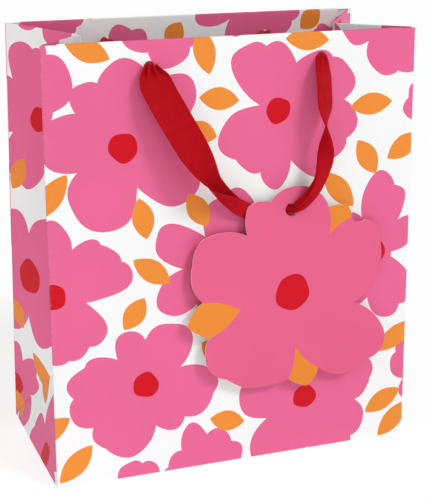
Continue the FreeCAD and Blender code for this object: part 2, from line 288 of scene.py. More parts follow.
def ribbon_finish(name, dye, shade_and_handling_dye):
    """Woven cloth: ribs across the ribbon, threads along it with painted shade in the valleys between them,
    and a slow change of tone where it is handled.
    """
    material, tree, shader = new_material(
        name, roughness=0.7, specular_ior_level=0.1, sheen_weight=0.08, sheen_roughness=0.4,
        sheen_tint=linear("F0485A"))
    cloth = add(tree, "ShaderNodeUVMap", uv_map="ribbon").outputs[0]
    ribs = add(tree, "ShaderNodeTexWave", {"Vector": cloth, "Scale": 0.62, "Distortion": 0.6, "Detail": 1.0,
                                           "Detail Scale": 3.0}, bands_direction="X")
    warp = add(tree, "ShaderNodeTexWave", {"Vector": cloth, "Scale": 0.9, "Distortion": 0.4},
               bands_direction="Y")
    mottle = noise(tree, cloth, 0.22, 4.0)
    threads = arithmetic(tree, "MULTIPLY", ribs.outputs[1], warp.outputs[1])
    # Painted shade: the dye is darkened in the valleys between the threads, where shade would fall.
    weave = blend_colours(tree, ramp(tree, threads, 0.0, 0.7, 0.35, 0.0), dye, shade_and_handling_dye)
    worn = blend_colours(tree, ramp(tree, mottle, 0.35, 0.7, 0.0, 0.3), weave, shade_and_handling_dye)
    dress(tree, shader, worn, threads, 0.45, 0.00018, ramp(tree, mottle, 0.3, 0.7, 0.55, 0.72))
    return material


red_ribbon = ribbon_finish("red_woven_ribbon", linear("BF0012"), linear("98000F"))
print("ribbon material:", red_ribbon.name)

# %% [markdown]
# ## Ribbon handles
# A handle is a limp flat ribbon, about 18 mm wide, so its middle line decides everything: out of the left
# hole, down in front of the wall, and back up to the right hole. The front one passes behind the tag and
# through the tag's punched hole on its way. The middle line is a smooth NURBS curve through a few chosen
# points. The ribbon itself is a cross-section carried along that line: it is bunched into pleats where
# it squeezes through a hole and lies open between them. On its way to the tag it folds over lengthwise,
# and on the right it makes a half twist, so for a moment it stands edge-on.

# %% Routes of the two ribbons: across the wall, up the wall, out from the wall
RIBBON_WIDTH = 18.0
RIBBON_THICKNESS = 0.35
FRONT_ROUTE = [
    (-49.5, 231.8, 0.6), (-49.6, 227.5, 3.4), (-47, 219, 6.8), (-41.5, 208, 9.8), (-35.3, 196.5, 11.8),
    (-28.8, 185, 12.3), (-21.2, 173.5, 11.5), (-12.3, 162, 9.2), (-3.5, 153.5, 6), (5, 148.6, 3.2),
    (15, 147, 2.2), (28, 147.3, 1.9), (32.4, 148.7, 8.6), (39.5, 154.5, 9), (45, 163.5, 10.5),
    (47.8, 175.5, 11.2), (48.3, 190, 11.2), (48.4, 204, 9.8), (48.9, 217, 7), (49.4, 227, 4),
    (49.5, 231.8, 0.6),
]
BACK_ROUTE = [
    (-49.5, 231, 0.6), (-49, 226, 3), (-48.2, 219, 4.6), (-46, 207, 7), (-42, 191, 10), (-35, 175, 12),
    (-24.5, 161, 12.5), (-10, 152.5, 12.5), (6, 151.5, 12), (21, 157.5, 12.5), (32.5, 169.5, 12.5),
    (40.5, 185, 11), (45, 201, 8), (48, 218, 4.8), (49.3, 227, 3), (49.5, 231, 0.6),
]
routes = {side: follow_route(side + "_ribbon", wall_to_frame(side, *np.array(route).T))
          for side, route in (("front", FRONT_ROUTE), ("back", BACK_ROUTE))}

# %% [markdown]
# ## From a line to a ribbon
# The cross-section is drawn by its direction, column by column, so its cloth keeps its full width however
# it is bunched. Pleat swings the direction to and fro, fold turns one side over along a hinge, and cup
# bends it evenly. Turn rolls the whole section round the line.

# %% Carry the cross-section along the line
COLUMNS = 45
CROWDING = 0.45
FOLD_SOFTNESS = 0.08
SELVEDGE_FROM, SELVEDGE_FULL, SELVEDGE_EXTRA = 0.88, 0.95, 0.5


def along_of(path):
    """Distance along a path in millimetres."""
    return np.concatenate([[0], np.cumsum(np.linalg.norm(np.diff(path, axis=0), axis=1))]) / MM


def step_between(value, low, high):
    """A smooth rise from 0 at low to 1 at high."""
    t = np.clip((value - low) / (high - low), 0, 1)
    return t * t * (3 - 2 * t)


def lay_ribbon(name, path, pleat, fold, hinge, turn, cup, material):
    """A flat ribbon along a path. Pleat, fold, turn and cup are angles in radians, one for each path point.

    Hinge says where across the ribbon the fold lies: -1 is one selvedge and 1 the other.
    """
    tangent = np.gradient(path, axis=0)
    tangent /= np.linalg.norm(tangent, axis=1)[:, None]
    outward = np.array([0, -math.cos(LEAN), math.sin(LEAN)]) * (1 if path[:, 1].mean() < 0 else -1)
    outward[2] = abs(outward[2])
    across = np.cross(tangent, outward)
    across /= np.linalg.norm(across, axis=1)[:, None]
    face = np.cross(across, tangent)
    cos, sin = np.cos(turn)[:, None], np.sin(turn)[:, None]
    across, face = across * cos + face * sin, face * cos - across * sin
    along = along_of(path)
    half = RIBBON_WIDTH / 2
    rows, columns = len(path), COLUMNS
    q = np.linspace(-1, 1, columns)
    q = (1 - CROWDING) * q + CROWDING * q ** 3
    over = step_between(q - hinge[:, None], -FOLD_SOFTNESS, FOLD_SOFTNESS)
    direction = pleat[:, None] * np.sin(3 * math.pi * q) + fold[:, None] * over + cup[:, None] * q
    width = np.gradient(q) * half
    sideways = np.cumsum(np.cos(direction) * width, axis=1)
    lift = np.cumsum(np.sin(direction) * width, axis=1)
    sideways -= (sideways.max(1) + sideways.min(1))[:, None] / 2
    lift -= lift.mean(1)[:, None]
    middle = path[:, None] + (across[:, None] * sideways[..., None] + face[:, None] * lift[..., None]) * MM
    normal = np.cross(np.gradient(middle, axis=0), np.gradient(middle, axis=1))
    normal /= np.linalg.norm(normal, axis=2)[..., None]
    selvedge = 1 + SELVEDGE_EXTRA * step_between(np.abs(q), SELVEDGE_FROM, SELVEDGE_FULL)
    offset = normal * (RIBBON_THICKNESS / 2 * MM) * selvedge[None, :, None]
    corners = np.concatenate([(middle + offset).reshape(-1, 3), (middle - offset).reshape(-1, 3)])
    count = rows * columns
    faces = []
    for r in range(rows - 1):
        for c in range(columns - 1):
            a = r * columns + c
            quad = (a, a + 1, a + 1 + columns, a + columns)
            faces += [quad, tuple(i + count for i in reversed(quad))]
        for c, order in ((0, 1), (columns - 1, -1)):
            a = r * columns + c
            rim = (a, a + columns, a + columns + count, a + count)
            faces.append(rim[::order])
    for r, order in ((0, -1), (rows - 1, 1)):
        for c in range(columns - 1):
            a = r * columns + c
            faces.append((a, a + 1, a + 1 + count, a + count)[::-order])
    piece = new_piece(name, corners, faces, [material])
    layer = piece.data.uv_layers.new(name="ribbon")
    u = np.tile(np.repeat(along, columns), 2)
    v = np.tile(np.tile(q * half, rows), 2)
    loops = np.zeros(len(piece.data.loops), np.int32)
    piece.data.loops.foreach_get("vertex_index", loops)
    layer.data.foreach_set("uv", np.stack([u[loops], v[loops]], 1).ravel().astype(np.float32))
    return piece


# %% The front ribbon
BUNCHED = 1.75
SQUEEZED_BY_TAG, PLEATED_BY_TAG = 0.7, 0.9
FOLDED, FOLD_STARTS, FOLD_DONE = 166, 88, 24
HINGE, HINGE_STARTS, HINGE_DONE = 0.42, 44, 28
HALF_TWIST, TWIST_STARTS, TWIST_DONE = 172, 72, 25
TIPPED, TIP_STARTS = 14, 40
TAG_HOLE = np.array((30.4, 148.0, 4.85))


def gathered(d, neck):
    """The pleats at both ends, where the ribbon squeezes through its holes and then opens out."""
    return BUNCHED * (1 - step_between(d, -2, neck)) + BUNCHED * step_between(d, d[-1] - neck, d[-1] + 2)


d = along_of(routes["front"])
total = d[-1]
at_hole = d[np.argmin(np.linalg.norm(routes["front"] - wall_to_frame("front", *TAG_HOLE), axis=1))]
print(f"the front ribbon goes through the tag {at_hole:.0f} mm from its left end")
pleat = gathered(d, 13) + PLEATED_BY_TAG * (1 - step_between(np.abs(d - at_hole - 4), 3, 26)) \
    + SQUEEZED_BY_TAG * (1 - step_between(np.abs(d - at_hole), 1, 8))
fold = np.radians(FOLDED * step_between(d, at_hole - FOLD_STARTS, at_hole - FOLD_DONE))
hinge = HINGE * step_between(d, total - HINGE_STARTS, total - HINGE_DONE)
turn = np.radians(HALF_TWIST * step_between(d, total - TWIST_STARTS, total - TWIST_DONE)
                  - TIPPED * step_between(d, at_hole - TIP_STARTS, at_hole))
front_ribbon = lay_ribbon("front_ribbon", routes["front"], pleat, fold, hinge, turn, 0.35 + 0 * d, red_ribbon)
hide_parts("front_ribbon_left", "front_ribbon_right", "front_ribbon_bight")

# %% The back ribbon
d = along_of(routes["back"])
turn = np.radians(-12 + 30 * step_between(d, 40, d[-1] - 40))
back_ribbon = lay_ribbon("back_ribbon_strip", routes["back"], gathered(d, 14), 0 * d, 0 * d, turn,
                         0.4 + 0 * d, red_ribbon)
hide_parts("back_ribbon")
print("ribbon faces:", len(front_ribbon.data.polygons), "in front,", len(back_ribbon.data.polygons), "behind")

# %% [markdown]
# ## Finish of the paper
# The sheet is coated paper of about 170 grams, printed with flat inks: white ground, pink petals, red
# hearts and orange leaves. The coating gives a silky gloss with a faint tooth from the fibres below.
# Along folds and cut edges the ink cracks and the white core shows, so each sheet carries an attribute
# named wear, 1 on the fold and 0 less than a millimetre away, and the material breaks it up with noise.

# %% Paper materials


def printed_paper(name, ink, mottle=0.03, wear_share=0.1, roughness=0.46):
    """Coated paper with one ink: fibre mottling, a fine tooth and white wear on the folds."""
    material, tree, shader = new_material(name, roughness=roughness, specular_ior_level=0.14)
    place = object_place(tree)
    cloud = noise(tree, place, 14.0, 3.0)
    fibre = noise(tree, place, 1400.0, 5.0, 0.7)
    darker = tuple(c * (1 - 2.2 * mottle) for c in ink[:3]) + (1,)
    tone = blend_colours(tree, ramp(tree, cloud, 0.35, 0.65), ink, darker)
    speck = tuple(min(1, c * (1 + mottle) + 0.01) for c in ink[:3]) + (1,)
    tone = blend_colours(tree, ramp(tree, fibre, 0.5, 0.75, 0.0, 0.7), tone, speck)
    wear = add(tree, "ShaderNodeAttribute", attribute_name="wear").outputs["Fac"]
    broken = arithmetic(tree, "MULTIPLY", wear, ramp(tree, noise(tree, place, 420.0, 4.0), 0.42, 0.62))
    worn = arithmetic(tree, "MULTIPLY", broken, wear_share)
    dress(tree, shader, blend_colours(tree, worn, tone, linear("F6F3EE")), fibre, 0.12, 0.00006,
          ramp(tree, fibre, 0.3, 0.7, roughness - 0.05, roughness + 0.08))
    return material


GROUND, PINK, RED, ORANGE, BARE = range(5)
inks = [
    printed_paper("paper_white_ground", linear("F5F5F5"), mottle=0.012),
    printed_paper("paper_pink_ink", linear("E96896")),
    printed_paper("paper_red_ink", linear("D10319")),
    printed_paper("paper_orange_ink", linear("F09038")),
    printed_paper("paper_bare_inside", linear("F1EFEA"), mottle=0.03, roughness=0.72),
]
print("paper materials:", [m.name for m in inks])

# %% [markdown]
# ## The printed pattern
# The pattern is a scatter of simple flowers and pointed leaves, cut-paper fashion. A picture of it would
# blur up close, so the print is real geometry: each petal and leaf is an outline on the flat blank, and
# the paper's mesh is cut along those outlines, so every face has exactly one ink. A petal is an egg shape
# with a slow wobble, a flower is a few petals round one red heart, and a leaf is two arcs that meet in
# points.

# %% Petals, hearts and leaves as outlines
CORE = 22.0


def egg(centre, length, width, turn, wobble, points=44, taper=0.3):
    """A blobby oval whose long axis points along turn. Taper makes its far end the wide one."""
    t = np.linspace(0, 2 * math.pi, points, endpoint=False)
    size = 1 + 0.035 * np.sin(3 * t + wobble) + 0.025 * np.sin(5 * t + 2.3 * wobble)
    x, y = size * length / 2 * np.cos(t), size * width / 2 * np.sin(t) * (1 + taper * np.cos(t))
    c, s = math.cos(turn), math.sin(turn)
    return np.stack([centre[0] + x * c - y * s, centre[1] + x * s + y * c], 1)


def flower(across, up, petals, heart=7.4):
    """The outlines of one flower. Each petal is (direction in degrees, reach, width)."""
    shapes = []
    for number, (degrees, reach, wide) in enumerate(petals):
        angle = math.radians(degrees)
        middle = (across + 0.5 * reach * math.cos(angle), up + 0.5 * reach * math.sin(angle))
        shapes.append((PINK, egg(middle, 1.02 * reach, wide, angle, across + 1.7 * number)))
    shapes.append((PINK, egg((across, up), CORE, CORE, 0, up, 30, 0)))
    shapes.append((RED, egg((across, up), 2 * heart, 1.9 * heart, 0.3 * across, across - up, 40, 0.04)))
    return shapes


def round_flower(across, up, reach, turn):
    """A flower with five notched petals, each of two overlapping blobs and a little different."""
    draw = random.Random(round(7 * across + 13 * up))
    petals = []
    for k in range(5):
        lean = draw.uniform(-7, 7)
        petals.append((turn + 72 * k + lean - 10, reach * draw.uniform(0.9, 1.0), reach * 0.48))
        petals.append((turn + 72 * k + lean + 11, reach * draw.uniform(0.96, 1.06), reach * 0.52))
    return flower(across, up, petals)


def leaf(start, end, width=13.0):
    """A pointed leaf between two tips."""
    start, end = np.array(start, float), np.array(end, float)
    axis = end - start
    side = np.array((-axis[1], axis[0])) / np.linalg.norm(axis)
    t = np.linspace(0, 1, 15)
    belly = (np.sin(math.pi * t) ** 0.8) * width / 2
    upper = start + axis * t[:, None] + side * belly[:, None]
    lower = start + axis * t[:, None] - side * (0.92 * belly)[:, None]
    return [(ORANGE, np.concatenate([upper, lower[-2:0:-1]]))]


def inside(outline, points):
    """Which points lie inside a closed outline, by counting crossings."""
    x, y = points[:, 0], points[:, 1]
    result = np.zeros(len(points), bool)
    for (x0, y0), (x1, y1) in zip(outline, np.roll(outline, -1, axis=0)):
        if y0 != y1:
            crosses = (y0 > y) != (y1 > y)
            result ^= crosses & (x < (x1 - x0) * (y - y0) / (y1 - y0) + x0)
    return result


# %% [markdown]
# ## Where the flowers sit on the blank
# The blank is one strip: the left gusset, the front, the right gusset and the back, side by side. Across
# is measured from the middle of the front, so the front runs from -107.5 to 107.5 and the gussets are
# 104 wide each. Up is measured from the base fold: below 0 are the bottom flaps, and above 245 is
# the edge that is turned into the bag. The first list of flowers says each petal's direction, reach and
# width, and the second draws its petals from a fixed seed. The flowers run on round the folds.
# A leaf of the right gusset or the back that would land on a petal is left out.

# %% Lay out the blank
EDGE = WIDTH / 2
print_shapes = []


def on_a_petal(spot):
    """Whether a petal already covers a place on the blank."""
    return any(kind == PINK and inside(shape, spot)[0] for kind, shape in print_shapes)


for spot in (
    (-65, 189, [(88, 47, 27), (124, 42, 20), (172, 46, 31), (42, 51, 26), (4, 38, 28), (-114, 46, 37),
                (-35, 48, 30)], 8.3),
    (24, 203, [(120, 42, 24), (92, 37, 22), (43, 42, 22), (24, 49, 26), (-14, 49, 26), (-33, 46, 26),
               (-50, 46, 24), (-93, 44, 17), (-124, 37, 24), (-149, 38, 26)]),
    (-55, 54, [(110, 34, 19), (58, 39, 27), (-8, 43, 23), (-23, 41, 24), (-54, 33, 21), (-111, 44, 27),
               (-131, 43, 22), (172, 44, 24), (-163, 45, 24), (157, 38, 18)], 7.7),
    (42, 33, [(20, 46, 25), (4, 42, 18), (171, 41, 28), (-125, 48, 30), (-107, 48, 22), (-35, 44, 26),
              (-60, 50, 28), (92, 38, 34)]),
    (-106, 111, [(88, 41, 20), (13, 45, 20), (30, 42, 22), (45, 38, 19), (-46, 38, 20), (-68, 38, 24),
                 (-92, 39, 26), (160, 36, 26), (-150, 38, 26)]),
    (85, 116, [(86, 48, 20), (68, 42, 14), (30, 33, 16), (-74, 41, 22), (-52, 39, 18), (150, 34, 28),
               (-128, 34, 28)]),
    (-9, 120, [(154, 43, 22), (-150, 44, 22), (74, 42, 22), (98, 36, 16), (-38, 42, 30), (-95, 36, 26),
               (18, 40, 28)]),
    (-42, 259, [(-80, 29, 24), (-140, 26, 20), (-30, 26, 20), (90, 26, 30)]),
    (92, 256, [(-153, 32, 18), (-94, 37, 24), (-70, 38, 20), (-20, 38, 26), (90, 30, 30)]),
    (-18, -20, [(103, 47, 18), (82, 41, 20), (64, 36, 18), (124, 36, 20), (150, 34, 24), (-90, 30, 40)]),
    (-124, 223, [(6, 32, 30), (-50, 28, 22), (72, 30, 26), (150, 26, 24), (-120, 26, 24)]),
    (-193, 97, [(62, 42, 26), (118, 42, 24), (180, 40, 28), (-122, 42, 26), (-62, 44, 26), (0, 40, 24)], 10.5),
):
    print_shapes += flower(*spot)
for spot in (
    (129, 203, 28, 36), (133, 43, 36, 16), (-60, -23, 32, 92), (58, -34, 30, 40),
    (-3, 261, 17, -90), (-186, 193, 44, 24), (-141, 4, 34, 30), (-209, 22, 30, 100), (-180, 262, 26, 0),
    (-150, 152, 22, 10), (171, 140, 42, 20), (180, 236, 38, 50), (196, 50, 44, 80), (160, 82, 20, 30),
    (150, 2, 30, 60),
    (243, 176, 44, 12), (350, 190, 46, 40), (404, 128, 42, 64), (304, 108, 46, 20), (236, 100, 24, 50),
    (262, 36, 45, 30), (356, 48, 46, 10), (408, 22, 34, 44), (280, 237, 35, 82), (352, 281, 31, 60),
    (222, 268, 18, 30), (409, 236, 30, 12), (-95, 272, 26, 40), (30, 272, 28, 10),
):
    print_shapes += round_flower(*spot)
for tips in (
    ((-95, 246), (-71, 236)), ((-22, 250), (-16, 225)), ((28, 242), (54, 240)), ((-22, 213), (1, 210)),
    ((-31, 197), (-12, 191)), ((68, 202), (94, 204)), ((73, 183), (85, 163)), ((92, 171), (113, 184)),
    ((-113, 154), (-96, 177)), ((-57, 161), (-53, 138)), ((-29, 161), (-18, 142)), ((-61, 127), (-40, 112)),
    ((-55, 105), (-67, 88)), ((52, 166), (71, 145)), ((113, 71), (88, 55)), ((82, 17), (105, 29)),
    ((110, 20), (91, 0)), ((4, 23), (-17, 28)), ((-22, 75), (-6, 61)), ((-99, 41), (-123, 28)),
    ((-87, 23), (-106, 3)),
    ((-198, 168), (-209, 148)), ((-199, 62), (-210, 78)), ((-163, 26), (-188, 50)), ((-200, 2), (-211, 17)),
    ((-140, 205), (-133, 182)), ((-150, 80), (-158, 60)), ((-160, 240), (-150, 222)), ((0, -50), (18, -58)),
    ((150, 190), (140, 168)), ((200, 200), (208, 178)), ((140, 118), (128, 98)), ((205, 110), (196, 92)),
    ((170, 20), (186, 8)), ((216, 160), (232, 148)), ((297, 178), (304, 156)), ((388, 190), (400, 172)),
    ((352, 150), (360, 128)), ((262, 150), (278, 162)), ((300, 76), (318, 84)), ((228, 72), (244, 84)),
    ((312, 32), (306, 12)), ((396, 78), (414, 70)), ((216, 24), (232, 12)), ((322, 250), (331, 263)),
    ((233, 245), (245, 257)), ((376, 246), (384, 232)), ((392, 262), (402, 278)), ((298, 236), (310, 228)),
    ((-210, 246), (-202, 262)), ((60, 262), (70, 250)), ((208, 246), (200, 262)),
):
    if tips[0][0] >= EDGE and on_a_petal(np.mean([tips], axis=1)):
        print("no room for the leaf at", tips)
    else:
        print_shapes += leaf(*tips)
print(len(print_shapes), "outlines on the blank")

# %% [markdown]
# ## Cutting and bending a sheet
# A sheet is made in two steps. First its outline, its holes, the ink outlines and a grid are all joined
# into triangles on the flat blank. The triangulation keeps every outline as edges, which a plain grid
# couldn't do. Then each corner is sent to its place in the bag by a function of
# (across, up, depth), once for the printed side and once a paper's thickness deeper for the other side.

# %% Cut and bend


def ring(across, up, radius, points=36):
    """A round hole's outline."""
    t = np.linspace(0, 2 * math.pi, points, endpoint=False)
    return np.stack([across + radius * np.cos(t), up + radius * np.sin(t)], 1)


def punched(middle, up):
    """The outlines of a wall's two ribbon holes."""
    return [ring(middle + s * HOLE_ACROSS, up, HOLE_RADIUS) for s in (-1, 1)]


def rectangle(middle, half, low, high):
    """A rectangle on the blank from its middle, its half width and its two heights."""
    return [(middle - half, low), (middle + half, low), (middle + half, high), (middle - half, high)]


def on_sheet(outline, holes, points):
    """Which points lie on the paper, inside its outline and outside its holes."""
    result = inside(outline, points)
    for hole in holes:
        result &= ~inside(hole, points)
    return result


WEAR_REACH = 0.7
SMALLEST_AREA = 1e-5


def cut_sheet(name, outline, bend, columns, rows, holes=(), shapes=(), thickness=PAPER, folds=None,
              materials=None, back=BARE, close=((), ())):
    """A sheet of paper cut from the blank, printed and bent. Folds gives the distance to the nearest fold.

    Close is a second, finer grid for where the paper turns sharply, so no triangle cuts across the turn.
    """
    outline = np.asarray(outline, float)
    low, high = outline.min(0), outline.max(0)
    used = [(ink, s) for ink, s in shapes if (s.max(0) > low).all() and (s.min(0) < high).all()]
    points, edges = [], []
    for line in [outline, *holes, *(s for _, s in used)]:
        first, count = len(points), len(line)
        points += [Vector(p) for p in line]
        edges += [(first + i, first + (i + 1) % count) for i in range(count)]
    grid = np.array([(a, u) for a in columns for u in rows] + [(a, u) for a in close[0] for u in close[1]])
    points += [Vector(p) for p in grid[on_sheet(outline, holes, grid)]]
    flat, _, triangles, *_ = delaunay_2d_cdt(points, edges, [], 0, 1e-4, False)
    flat = np.array([tuple(p) for p in flat])
    triangles = np.array(triangles)
    span = flat[triangles]
    centres = span.mean(1)
    area = np.cross(span[:, 1] - span[:, 0], span[:, 2] - span[:, 0])
    kept = on_sheet(outline, holes, centres) & (np.abs(area) > SMALLEST_AREA)
    triangles, centres, area = triangles[kept], centres[kept], area[kept]
    triangles = np.where(area[:, None] > 0, triangles, triangles[:, ::-1])
    ink = np.full(len(triangles), GROUND)
    for number in (PINK, RED, ORANGE):
        for kind, shape in used:
            if kind == number:
                ink[inside(shape, centres)] = number
    live = np.unique(triangles)
    index = np.full(len(flat), -1)
    index[live] = np.arange(len(live))
    flat, triangles = flat[live], index[triangles]
    top = bend(flat[:, 0], flat[:, 1], np.zeros(len(flat)))
    under = bend(flat[:, 0], flat[:, 1], np.full(len(flat), thickness))
    count = len(flat)
    directed = {(int(a), int(b)): n for n, t in enumerate(triangles)
                for a, b in ((t[0], t[1]), (t[1], t[2]), (t[2], t[0]))}
    rim = [(a, b) for a, b in directed if (b, a) not in directed]
    faces = [tuple(t) for t in triangles] + [tuple(t[::-1] + count) for t in triangles]
    faces += [(b, a, a + count, b + count) for a, b in rim]
    centre = len(triangles) // 2
    p, q, r = (top[i] for i in triangles[centre])
    inward = under[triangles[centre][0]] - p
    if np.dot(np.cross(q - p, r - p), inward) > 0:
        faces = [face[::-1] for face in faces]
    rim_paint = [back if materials else ink[directed[edge]] for edge in rim]
    paints = list(ink) + [back] * len(triangles) + rim_paint
    hard = rim + [(a + count, b + count) for a, b in rim]
    piece = new_piece(name, np.concatenate([top, under]), faces, materials or inks, paints, hard)
    if folds is not None:
        near = np.clip(1 - folds(flat[:, 0], flat[:, 1]) / WEAR_REACH, 0, 1)
        piece.data.attributes.new("wear", "FLOAT", "POINT").data.foreach_set(
            "value", np.tile(near, 2).astype(np.float32))
    print(f"{name}: {len(faces)} faces, inks used {sorted(set(paints))}")
    return piece


def grid_lines(low, high, step, fine=(0.7, 1.6)):
    """Evenly spaced grid lines with a few close ones beside both ends."""
    count = max(2, round((high - low) / step))
    lines = list(np.linspace(low, high, count + 1)[1:-1])
    return sorted(lines + [low + f for f in fine] + [high - f for f in fine])


# %% [markdown]
# ## The two wide walls
# A wide wall is flat where the card strip stiffens its top and swells by about a millimetre lower down,
# with a fainter ripple, as a bag does once it has been opened. Its upright edges turn the corner with a
# small round fold, and the gusset carries on from there.

# %% Bend a wall
FOLD = 0.7
SWELL, SWELL_TOP, SWELL_SPARE = 0.9, 203.0, 8.0
RIPPLE, RIPPLE_ACROSS, RIPPLE_UP = 0.22, 17.0, 23.0
FADE_ABOVE, FADE_BELOW, FADE_BESIDE = 60.0, 30.0, 20.0


def wall_bend(side, middle):
    """A function that sends the blank to a wide wall whose middle is at the given place on the blank."""
    def bend(across, up, depth):
        a = across - middle
        bow = np.where(up < SWELL_TOP, SWELL * np.cos(math.pi * a / (WIDTH + SWELL_SPARE))
                       * np.sin(math.pi * np.clip(up, 0, SWELL_TOP) / SWELL_TOP) ** 2, 0)
        ripple = RIPPLE * np.sin(a / RIPPLE_ACROSS + 1) * np.sin(up / RIPPLE_UP) \
            * np.clip((SWELL_TOP - up) / FADE_ABOVE, 0, 1) * np.clip(up / FADE_BELOW, 0, 1)
        bow = bow + ripple * np.clip((EDGE - np.abs(a)) / FADE_BESIDE, 0, 1)
        beyond = np.clip(np.abs(a) - (EDGE - FOLD), 0, None)
        angle = beyond / FOLD
        x = np.where(beyond > 0, np.sign(a) * (EDGE - FOLD + (FOLD - depth) * np.sin(angle)), a)
        out = np.where(beyond > 0, -FOLD + (FOLD - depth) * np.cos(angle), bow - depth)
        return wall_to_frame(side, x, up, out)
    return bend


TURN_RADIUS = PAPER + STRIP / 2
WALL_TOP = LENGTH - TURN_RADIUS
CORNER = EDGE - FOLD + FOLD * math.pi / 2
WALL_MIDDLE = {"front": 0.0, "back": 2 * EDGE + DEPTH}
for side, middle in WALL_MIDDLE.items():
    fold_columns = [middle + s * (EDGE - FOLD + f) for s in (-1, 1) for f in (0, 0.28, 0.55, 0.82)]
    wall = cut_sheet(
        side + "_wall", rectangle(middle, CORNER, 0, WALL_TOP), wall_bend(side, middle),
        grid_lines(middle - EDGE + FOLD, middle + EDGE - FOLD, 7), grid_lines(0, WALL_TOP, 7),
        holes=punched(middle, HOLE_UP), shapes=print_shapes,
        folds=lambda a, u: np.minimum(np.abs(np.abs(a - middle) - EDGE + FOLD / 4), np.minimum(u, LENGTH - u)),
        close=(fold_columns, np.arange(0.7, WALL_TOP, 1.2)))
    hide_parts(side + "_panel")
    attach(wall, side + "_panel")

# %% [markdown]
# ## The turned-in top edge
# The top 38 mm of each wall goes over the card strip and down the inside, so its printed side faces the
# inside of the bag. It is one more sheet of the blank: it starts on a half circle round the top and then
# hangs straight down.

# %% Bend a turned-in edge
HEM_HALF = 99.0
HEM_START = WALL_TOP + math.pi * TURN_RADIUS
HEM_END = HEM_START + HEM
TURN_MIDDLE = 0.8


def hem_bend(side, middle):
    """A function that sends the blank over the top of a wide wall and down inside it."""
    def bend(across, up, depth):
        past = up - WALL_TOP
        angle = np.clip(past / TURN_RADIUS, 0, math.pi)
        straight = np.clip(past - math.pi * TURN_RADIUS, 0, None)
        reach = TURN_RADIUS - depth
        height = WALL_TOP + reach * np.sin(angle) - straight
        out = -TURN_RADIUS + reach * np.cos(angle)
        return wall_to_frame(side, across - middle, height, out)
    return bend


turn_rows = [WALL_TOP + TURN_RADIUS * a for a in np.linspace(0.35, math.pi, 9)]
for side, middle in WALL_MIDDLE.items():
    hem = cut_sheet(
        side + "_turned_edge", rectangle(middle, HEM_HALF, WALL_TOP, HEM_END), hem_bend(side, middle),
        grid_lines(middle - HEM_HALF, middle + HEM_HALF, 9), grid_lines(turn_rows[-1], HEM_END, 8),
        holes=punched(middle, HEM_START + WALL_TOP - HOLE_UP), shapes=print_shapes,
        folds=lambda a, u: np.minimum(np.abs(u - WALL_TOP - TURN_MIDDLE), HEM_END - u),
        close=(np.arange(middle - HEM_HALF + 0.5, middle + HEM_HALF, 1.1), turn_rows))
    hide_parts(side + "_hem")
    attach(hem, side + "_panel")

# %% [markdown]
# ## The gussets
# Each narrow side is creased down its middle and pulled inwards, so the bag can close flat. Near the base
# the crease splits in two and runs to the corners, and leaves a triangle, the foot. A half of the gusset
# is a ruled surface: straight lines from the upright fold to the crease. That is how paper really lies, since
# it bends in one direction only. Where two pieces meet, one has a narrow flap behind the other, so no light
# shows through when the bag moves.

# %% Bend a gusset
HALF = DEPTH / 2
APEX_UP = 50.0
APEX_INSET = 15.1
CREASE_TOP = LENGTH * COS_LEAN - 2.3
PUFF = 0.7
FLAP, TUCK = 2.2, 0.45
LIP = PAPER + 0.05
GUSSET_TOP = LENGTH - LIP


def half_point(hand, wall, distance, up):
    """A point on half a gusset, at a distance from its upright fold along the paper."""
    sign_x, sign_y = (-1 if hand == "left" else 1), (-1 if wall == "front" else 1)
    near = np.stack([np.full_like(up, sign_x * EDGE), sign_y * (HALF - up * SIN_LEAN), up * COS_LEAN], -1)
    corner = np.array([sign_x * EDGE, sign_y * HALF, 0.0])
    apex = np.array([sign_x * (EDGE - APEX_INSET), 0.0, APEX_UP * COS_LEAN])
    low_far = corner + (apex - corner) * np.clip(up / APEX_UP, 0, 1)[:, None]
    inset = np.sqrt(HALF ** 2 - (HALF - up * SIN_LEAN) ** 2)
    rise = apex[2] + (up - APEX_UP) / (LENGTH - APEX_UP) * (CREASE_TOP - apex[2])
    high_far = np.stack([sign_x * (EDGE - inset), np.zeros_like(up), rise], -1)
    far = np.where((up < APEX_UP)[:, None], low_far, high_far)
    share = np.clip(distance / (HALF * np.clip(up / APEX_UP, 1e-3, 1)), 0, 1.2)
    point = near + (far - near) * share[:, None]
    puff = PUFF * np.sin(math.pi * np.clip(share, 0, 1)) * np.sin(math.pi * np.clip(up / LENGTH, 0, 1))
    point[:, 0] += sign_x * puff
    return point


def half_bend(hand, wall):
    """The depth of the paper is measured square to the surface, found from two nearby points."""
    def bend(across, up, depth):
        beyond = np.abs(across) - EDGE
        distance = beyond if wall == "front" else DEPTH - beyond
        turned = distance > HALF + 1e-6
        other = "back" if wall == "front" else "front"
        here = np.where(turned, DEPTH - distance, distance)
        result = np.zeros((len(up), 3))
        for chosen, kind in ((~turned, wall), (turned, other)):
            if chosen.any():
                result[chosen] = sunk(hand, kind, here[chosen], up[chosen],
                                      depth[chosen] + (TUCK if kind == other else 0))
        return result * MM
    return bend


def sunk(hand, wall, distance, up, depth):
    """A half gusset's point moved inwards by a depth. Past the top the paper turns down behind itself."""
    past = np.clip(up - GUSSET_TOP, 0, None)
    angle = np.clip(past / LIP, 0, math.pi)
    straight = np.clip(past - math.pi * LIP, 0, None)
    reach = LIP - depth
    height = np.where(past > 0, GUSSET_TOP + reach * np.sin(angle) - straight, up)
    inward = np.where(past > 0, LIP - reach * np.cos(angle), depth)
    here = half_point(hand, wall, distance, height)
    step = 0.05
    along = half_point(hand, wall, distance + step, height) - half_point(hand, wall, distance - step, height)
    rising = half_point(hand, wall, distance, height + step) - half_point(hand, wall, distance, height - step)
    normal = np.cross(along, rising)
    normal /= np.linalg.norm(normal, axis=1)[:, None]
    toward = -1 if hand == "left" else 1
    normal *= np.where(normal[:, :1] * toward > 0, 1, -1)
    return here - normal * inward[:, None]


